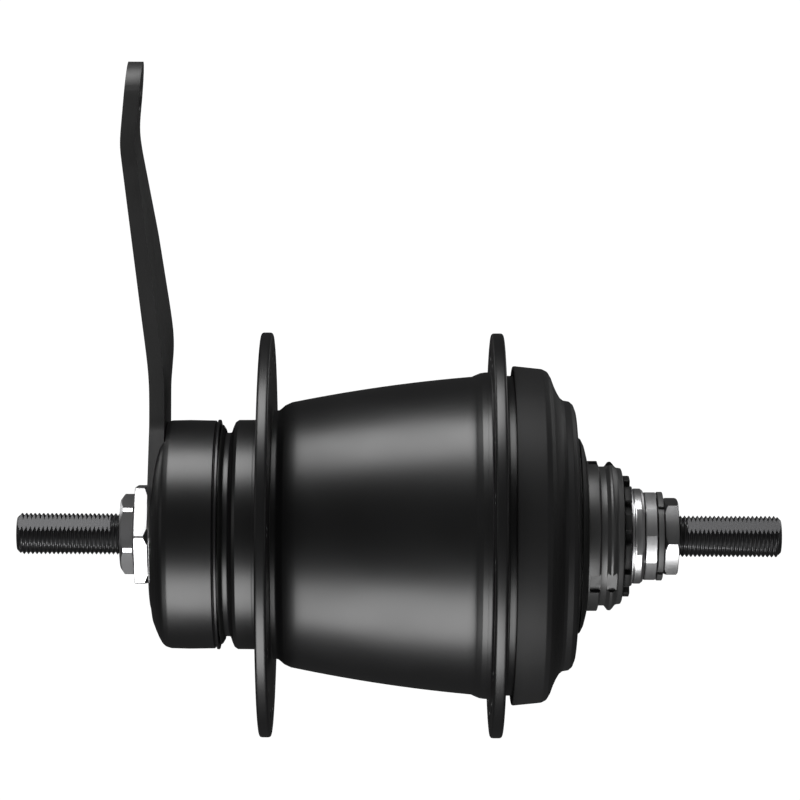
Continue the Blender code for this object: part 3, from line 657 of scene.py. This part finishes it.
def bend(height):
    """How far the two bends have carried the arm along X at a height."""
    offset = 0.0
    for (start, slope, width), way in ((ARM_OUTWARD_BEND, -1), (ARM_BACKWARD_BEND, 1)):
        offset += way * slope * width * math.log1p(math.exp((height - start) / width))
    return offset


def make_brake_arm():
    """The flat arm is cut out, softened, sliced across and then bent at two heights."""
    neck = double_flat(NECK_RADIUS_IN_ARM, NECK_FLATS_IN_ARM)
    hole = circle(ARM_HOLE_RADIUS, 40, (0.0, ARM_END_HEIGHT))
    arm = prism("brake_arm_pressed", [arm_outline(), neck, hole], ARM_FACE, ARM_FACE + ARM_THICKNESS)
    soften_edges(arm, 0.35, 3, 60)
    shape = bmesh.new()
    shape.from_mesh(arm.data)
    lean = Vector((0.0, -ARM_BEND_LEAN, 1.0)).normalized()
    for height in ARM_FINE_CUTS:
        everything = shape.verts[:] + shape.edges[:] + shape.faces[:]
        place = Vector((0.0, 0.0, height * MM))
        bmesh.ops.bisect_plane(shape, geom=everything, dist=1e-8, plane_co=place, plane_no=lean)
    for corner in shape.verts:
        corner.co.x += bend((corner.co.z - ARM_BEND_LEAN * corner.co.y) / MM) * MM
    bpy.data.objects.remove(arm)
    fit(mesh_object("brake_arm_pressed", shape), "brake_arm", ARM_BLACK)


def make_brake_cover():
    """The dome with a pocket for the arm's head and a grooved lip, and its seal on the drum."""
    low, high = span("brake_cover")
    inner = DRUM_RADIUS + 0.9
    floor = -51.7
    dome = [(low, NECK_RADIUS_IN_ARM), (low, 18.0, 0.3), (-56.2, 20.5, 2.0), (-55.5, 22.3, 2.0)]
    dome += [(-54.8, 23.9, 2.0), (-54.1, 25.1, 1.5), (-53.4, 25.8, 1.5), (-52.1, 26.2, 2.0)]
    dome += [(-48.0, 26.3, 3.0), (-42.1, 26.2, 0.2), (-41.85, 25.7, 0.05), (-41.65, 26.15, 0.1)]
    dome += [(-41.55, 26.4, 0.1), (high, 26.4, 0.12)]
    dome += [(high, inner, 0.2), (floor, inner, 1.0), (floor, NECK_RADIUS_IN_ARM)]
    cover = lathe("brake_cover_dome", rounded(dome))
    boolean(cover, prism("arm_pocket", [arm_outline(POCKET_GAP)], -60.0, POCKET_FLOOR))
    fit(cover, "brake_cover", GLOSS_BLACK)
    low, high = span("brake_seal")
    lip = DRUM_RADIUS + 0.4
    seal = [(low, lip), (low, 25.3, 0.2), (low + 0.35, 25.1, 0.2), (high, 24.2, 0.2), (high, lip, 0.1)]
    fit(lathe("brake_seal_lip", rounded(seal)), "brake_seal", RUBBER)


# ---------------------------------------------------------------- shell

def barrel_radius(x):
    """The barrel's slightly bulging taper."""
    return 34.69 + 0.1343 * x - 0.00146 * x * x


def make_flange(node, seat, feet, start):
    """A flange with a rounded rim, blended into the shell at both feet, and its spoke holes."""
    low, high = span(node)
    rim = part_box(node)[1].z / MM
    near, far = feet
    start_x, end_x = low - FLANGE_FOOT_LEFT, high + FLANGE_FOOT_RIGHT
    section = [(start_x, near), (low, near + 0.1, 1.4), (low, rim, FLANGE_RIM_ROUNDING)]
    section += [(high, rim, FLANGE_RIM_ROUNDING), (high, far + 0.1, 1.0), (end_x, far)]
    section += [(end_x, seat), (start_x, seat)]
    flange = lathe(f"{node}_painted", rounded(section), SHELL_STEPS)
    holes = []
    for index in range(SPOKE_HOLES):
        centre = at_clock(SPOKE_CIRCLE, start + 360 * index / SPOKE_HOLES)
        holes.append(circle(SPOKE_HOLE_RADIUS, 24, centre))
    boolean(flange, prism(f"{node}_holes", holes, low - 0.5, high + 0.5))
    soften_edges(flange, 0.15, 2, 50)
    flatten_sides(flange)
    fit(flange, node, GLOSS_BLACK)


def make_shell():
    """Brake drum, barrel and right shoulder as one turned wall, then the two flanges."""
    low, high = span("hub_shell")
    section = [(low, DRUM_BORE, 0.3), (low, DRUM_RADIUS, 0.3), (-38.5, DRUM_RADIUS, 0.6)]
    section += [(-38.1, 24.7, 0.4), (-37.6, 25.85, 0.5), (-36.85, 26.35, 0.4), (-30.5, LEFT_NECK)]
    section += [(-30.5, BARREL_FOOT), (-27.6, 28.6, 1.0), (-26.2, 29.8, 1.0)]
    for step in range(BARREL_STEPS + 1):
        x = BARREL[0] + (BARREL[1] - BARREL[0]) * step / BARREL_STEPS
        section.append((x, barrel_radius(x)))
    section += [(17.4, 36.9, 0.6), (18.5, 37.35, 0.8), (19.5, SHOULDER, 0.8), (22.0, SHOULDER)]
    section += [(22.0, NECK_RADIUS), (high, NECK_RADIUS, 0.3), (high, 34.0, 0.3), (18.0, 34.0)]
    section += [(x, barrel_radius(x) - SHELL_WALL) for x in (15.0, 5.0, -5.0, -15.0, -23.5)]
    section += [(-25.7, 26.0), (-26.0, DRUM_BORE)]
    fit(lathe("hub_shell_painted", rounded(section), SHELL_STEPS), "hub_shell", GLOSS_BLACK)
    make_flange("left_flange", 26.0, (LEFT_NECK, BARREL_FOOT), LEFT_HOLES_START)
    make_flange("right_flange", 36.4, (SHOULDER, NECK_RADIUS), RIGHT_HOLES_START)


def make_end_cup():
    """The stepped cap on the shell's right end and the ring that seals it to the driver."""
    low, high = span("shell_end_cup")
    seat = 23.8
    skirt = NECK_RADIUS + 0.3
    cup = [(low, 38.9, 0.3), (low + 0.4, 39.0, 0.3), (32.6, 38.35, 1.2), (33.8, 37.75, 1.0)]
    cup += [(34.6, 36.4, 1.0), (35.3, 34.5, 1.5), (36.0, 33.0, 1.0), (36.75, 31.75, 0.8)]
    cup += [(37.5, 31.15, 0.6), (38.9, 30.9, 0.5), (39.7, 30.2, 0.6), (high, 28.9, 0.8)]
    cup += [(high, seat, 0.25), (38.5, seat), (38.5, 22.6), (38.0, 22.8), (35.8, 25.0), (31.4, 25.0)]
    cup += [(31.4, 28.5), (33.6, 28.5), (33.6, 31.0), (31.8, 34.0), (31.8, skirt), (low, skirt, 0.2)]
    fit(lathe("shell_end_cup_turned", rounded(cup)), "shell_end_cup", CUP_BLACK)
    low, high = span("driver_seal")
    ring = [(low, 19.3), (low, 23.5), (high, 23.5, 0.35), (high, 22.6, 0.2), (high - 0.4, 22.2, 0.3)]
    ring += [(high - 0.4, 19.3)]
    fit(lathe("driver_seal_ring", rounded(ring)), "driver_seal", SMALL_BLACK)


# ---------------------------------------------------------------- driver end

def make_driver():
    """The driver with its slots and grooves, and the small dish on it."""
    low, high = span("driver")
    section = [(low, 9.5, 0.2), (low, 14.0, 0.3), (17.3, 14.0), (17.3, 16.5, 0.3), (28.5, 16.5)]
    section += [(28.5, 21.29, 0.3), (31.9, 21.2), (34.2, 18.98), (34.2, 17.9), (42.9, 17.9, 0.2)]
    section += [(42.9, 17.25), (45.4, 17.25, 0.25), (45.75, 16.0, 0.15), (47.1, 16.0, 0.2)]
    section += [(47.9, 17.05, 0.4), (48.5, 17.15, 0.5), (49.0, 16.6, 0.3), (49.5, 15.95, 0.2)]
    section += [(49.8, 15.75, 0.1), (50.8, 15.6, 0.15), (high, 15.2, 0.1), (high, 13.2, 0.2)]
    section += [(46.5, 13.3), (44.4, 11.2), (44.3, 9.5)]
    driver = lathe("driver_turned", rounded(section, steps=3))
    slots = [bar(clock, 16.0, 20.0, 2.5) for clock in (-38.0, 82.0, 202.0)]
    boolean(driver, prism("driver_slots", slots, 43.3, 50.0))
    fit(driver, "driver", DARK_STEEL)
    low, high = span("driver_dust_cap")
    dish = [(low, 22.5, 0.2), (low + 0.3, 22.3, 0.5), (42.2, 20.9, 1.0), (high, 18.5, 0.3)]
    dish += [(high, 18.2, 0.1), (42.3, 18.2), (41.7, 20.6, 0.5), (low, 21.6)]
    fit(lathe("driver_dust_cap_dish", rounded(dish)), "driver_dust_cap", SMALL_BLACK)


def make_right_cone():
    """The cone with wrench flats and windows for the shift ring's keys, and the clip on it."""
    low, high = span("right_cone")
    tube = 6.8
    section = [(low, tube), (low, 8.2, 0.2), (49.7, 10.25, 0.3), (53.7, 10.25), (53.7, 10.95, 0.2)]
    section += [(55.3, 10.95, 0.4), (high, 10.45, 0.2), (high, AXLE_BORE, 0.2)]
    section += [(54.2, AXLE_BORE), (54.2, tube)]
    cone = lathe("right_cone_ground", rounded(section), SMALL_STEPS)
    windows = [sector(5.6, 12.0, middle - 84.0, middle + 84.0, 24) for middle in (0, 180)]
    boolean(cone, prism("cone_windows", windows, 51.0, 53.0))
    for clock in (CONE_FLAT_CLOCK, CONE_FLAT_CLOCK + 180):
        boolean(cone, prism("cone_flat", [bar(clock, 9.7, 13.0, 6.0)], 54.1, 58.0))
    fit(cone, "right_cone", CHROME)
    low, high = span("actuator_clip")
    clip = [(low, 10.6), (low, 11.45, 0.15), (high, 11.45, 0.15), (high, 10.6)]
    fit(lathe("actuator_clip_ring", rounded(clip), SMALL_STEPS), "actuator_clip", CHROME)


def make_actuator():
    """The toothed shift ring with two keys that reach in towards the axle."""
    low, high = span("shift_actuator")
    outline = []
    for tooth in range(RING_TEETH):
        for share, radius in ((-0.31, 12.5), (-0.27, 14.0), (0.27, 14.0), (0.31, 12.5)):
            clock = RING_CLOCK + 360 * (tooth + share) / RING_TEETH
            outline.append((*at_clock(radius, clock), 0.3))
    ring = prism("shift_ring_notched", [rounded(outline), circle(10.6)], low, high)
    keys = [bar(RING_CLOCK + turn, 6.8, 11.6, 0.8) for turn in (0, 180)]
    boolean(ring, prism("ring_keys", keys, low, high), "UNION")
    soften_edges(ring, 0.15)
    fit(ring, "shift_actuator", SMALL_BLACK)


# ---------------------------------------------------------------- stage, lights and camera

def make_camera():
    """The photo's camera: level, with a slight roll and a sideways shift."""
    data = bpy.data.cameras.new("camera")
    data.lens = CAMERA_LENS
    data.sensor_width = CAMERA_SENSOR
    data.shift_x = CAMERA_SHIFT
    camera = bpy.data.objects.new("camera", data)
    camera.location = CAMERA_PLACE
    camera.rotation_euler = (math.pi / 2, CAMERA_ROLL, 0.0)
    bpy.context.scene.collection.objects.link(camera)
    bpy.context.scene.camera = camera


def softbox(name, place, target, size, radiance):
    """A rectangular area light whose brightness is given as radiance."""
    data = bpy.data.lights.new(name, "AREA")
    data.shape = "RECTANGLE"
    data.size, data.size_y = size
    data.energy = radiance * math.pi * size[0] * size[1]
    lamp = bpy.data.objects.new(name, data)
    lamp.location = place
    aim = Vector(target) - Vector(place)
    lamp.rotation_euler = aim.to_track_quat("-Z", "Y").to_euler()
    lamp.visible_camera = False
    bpy.context.scene.collection.objects.link(lamp)


def on_arc(distance, elevation):
    """(y, z) of a place on a circle round the axle, elevation counted from the camera's side."""
    angle = math.radians(elevation)
    return -distance * math.cos(angle), distance * math.sin(angle)


def make_lights():
    """Two large softboxes draw the highlights along the shell; cards and rear ones fill its ends."""
    middle = (0.0, 0.0, 0.0)
    for name, elevation, size, radiance in (("top_softbox", 75.0, (0.5, 0.46), 9.2),
                                            ("low_softbox", -59.0, (0.56, 0.62), 8.4)):
        y, z = on_arc(SOFTBOX_DISTANCE, elevation)
        softbox(name, (SOFTBOXES_X, y, z), (SOFTBOXES_X, 0.0, 0.0), size, radiance)
    softbox("left_card", (-1.0, -0.35, 0.25), middle, (0.4, 0.6), 0.7)
    softbox("right_card", (1.0, -0.35, 0.15), middle, (0.4, 0.6), 0.7)
    for name, x in (("left_rear_softbox", -0.8), ("right_rear_softbox", 0.8)):
        softbox(name, (x, 0.65, 0.5), middle, (0.5, 0.5), 1.6)


def make_world():
    """White to the camera; for reflections a grey studio, lighter in front of the hub."""
    world = bpy.data.worlds.new("studio")
    world.use_nodes = True
    tree = world.node_tree
    tree.nodes.clear()
    output = tree.nodes.new("ShaderNodeOutputWorld")
    mix = tree.nodes.new("ShaderNodeMixShader")
    path = tree.nodes.new("ShaderNodeLightPath")
    tree.links.new(path.outputs["Is Camera Ray"], mix.inputs["Fac"])
    white = tree.nodes.new("ShaderNodeBackground")
    white.inputs["Color"].default_value = (1.0, 1.0, 1.0, 1.0)
    white.inputs["Strength"].default_value = BACKGROUND
    tree.links.new(white.outputs[0], mix.inputs[2])
    room = tree.nodes.new("ShaderNodeBackground")
    split = tree.nodes.new("ShaderNodeSeparateXYZ")
    tree.links.new(tree.nodes.new("ShaderNodeTexCoord").outputs["Generated"], split.inputs[0])
    level = mapped(tree, split.outputs["Y"], FRONT_LEVEL, BACK_LEVEL, -1.0, 0.5)
    tree.links.new(level, room.inputs["Strength"])
    tree.links.new(room.outputs[0], mix.inputs[1])
    tree.links.new(mix.outputs[0], output.inputs["Surface"])
    bpy.context.scene.world = world
    bpy.context.scene.view_settings.view_transform = "Standard"


def make_floor():
    """A pale floor just under the flanges; the low softbox shines through it."""
    level = CAD_BOX[0].z - FLOOR_GAP
    mesh = bpy.data.meshes.new("floor")
    corners = [(-1, -1), (1, -1), (1, 1), (-1, 1)]
    mesh.from_pydata([(x * FLOOR_HALF, y * FLOOR_HALF, level) for x, y in corners], [], [(0, 1, 2, 3)])
    floor = bpy.data.objects.new("floor", mesh)
    bpy.context.scene.collection.objects.link(floor)
    material = bpy.data.materials.new("pale_floor")
    material.use_nodes = True
    shader = material.node_tree.nodes["Principled BSDF"]
    shader.inputs["Base Color"].default_value = (0.0, 0.0, 0.0, 1.0)
    shader.inputs["Specular IOR Level"].default_value = 0.0
    shader.inputs["Emission Color"].default_value = (1.0, 1.0, 1.0, 1.0)
    shader.inputs["Emission Strength"].default_value = BACKGROUND
    mesh.materials.append(material)
    floor.visible_diffuse = False
    floor.visible_glossy = False
    floor.visible_shadow = False


make_camera()
make_world()
make_lights()
make_floor()
dress_frame()
make_axle()
make_nuts()
make_lock_washer()
make_brake_arm()
make_brake_cover()
make_shell()
make_end_cup()
make_driver()
make_right_cone()
make_actuator()
